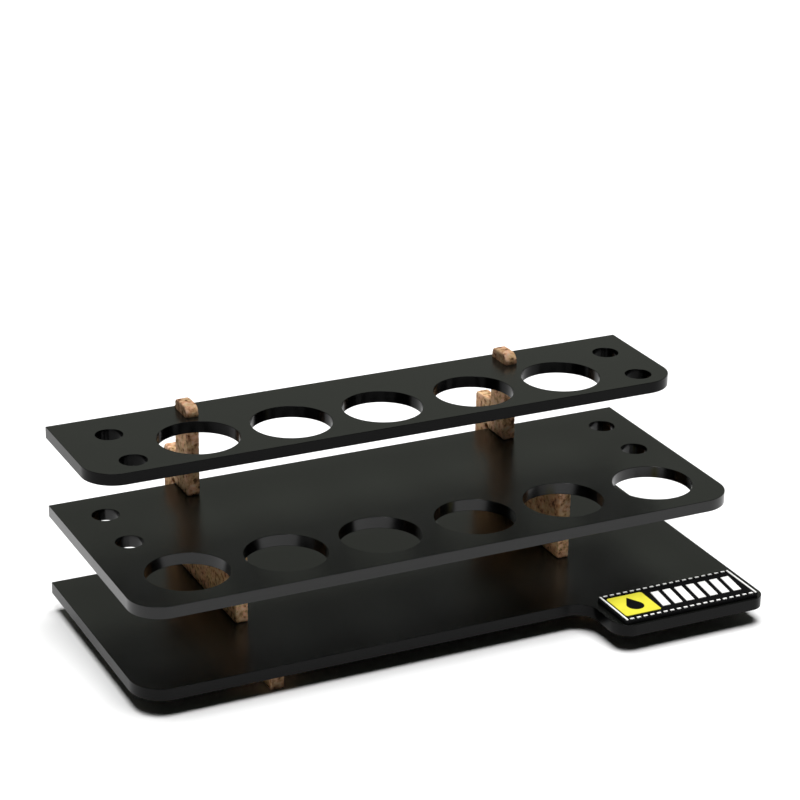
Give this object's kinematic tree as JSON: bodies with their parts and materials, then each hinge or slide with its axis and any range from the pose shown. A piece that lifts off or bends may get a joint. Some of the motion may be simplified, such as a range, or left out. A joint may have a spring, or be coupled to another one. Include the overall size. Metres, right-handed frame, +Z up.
{
  "type": "bottle and airbrush tool stand",
  "caption": "Low bench rack of satin black plates on two chipboard uprights, with round holes that hold paint bottles and tool handles, and a badge on a front tab.",
  "frame": {"origin": "on the table, under the middle of the whole rack's box", "axes": "+X to the rack's right along its length, +Y to its back, +Z up"},
  "size_m": [0.21, 0.115, 0.0689],
  "materials": {
    "black_sheet": "satin black sheet with cut edges",
    "chipboard": "raw pressed chip or cork board, mottled brown",
    "badge_rubber": "soft moulded, matt",
    "badge_white": "soft moulded, matt",
    "badge_yellow": "soft moulded, matt"
  },
  "bodies": {
    "root": {"base_plate": "black_sheet", "middle_shelf": "black_sheet", "top_shelf": "black_sheet", "left_upright": "chipboard", "right_upright": "chipboard", "badge_backing": "badge_rubber", "badge_border": "badge_white", "badge_tile": "badge_yellow", "badge_droplet": "badge_rubber", "badge_bars": "badge_white"}
  },
  "joints": []
}
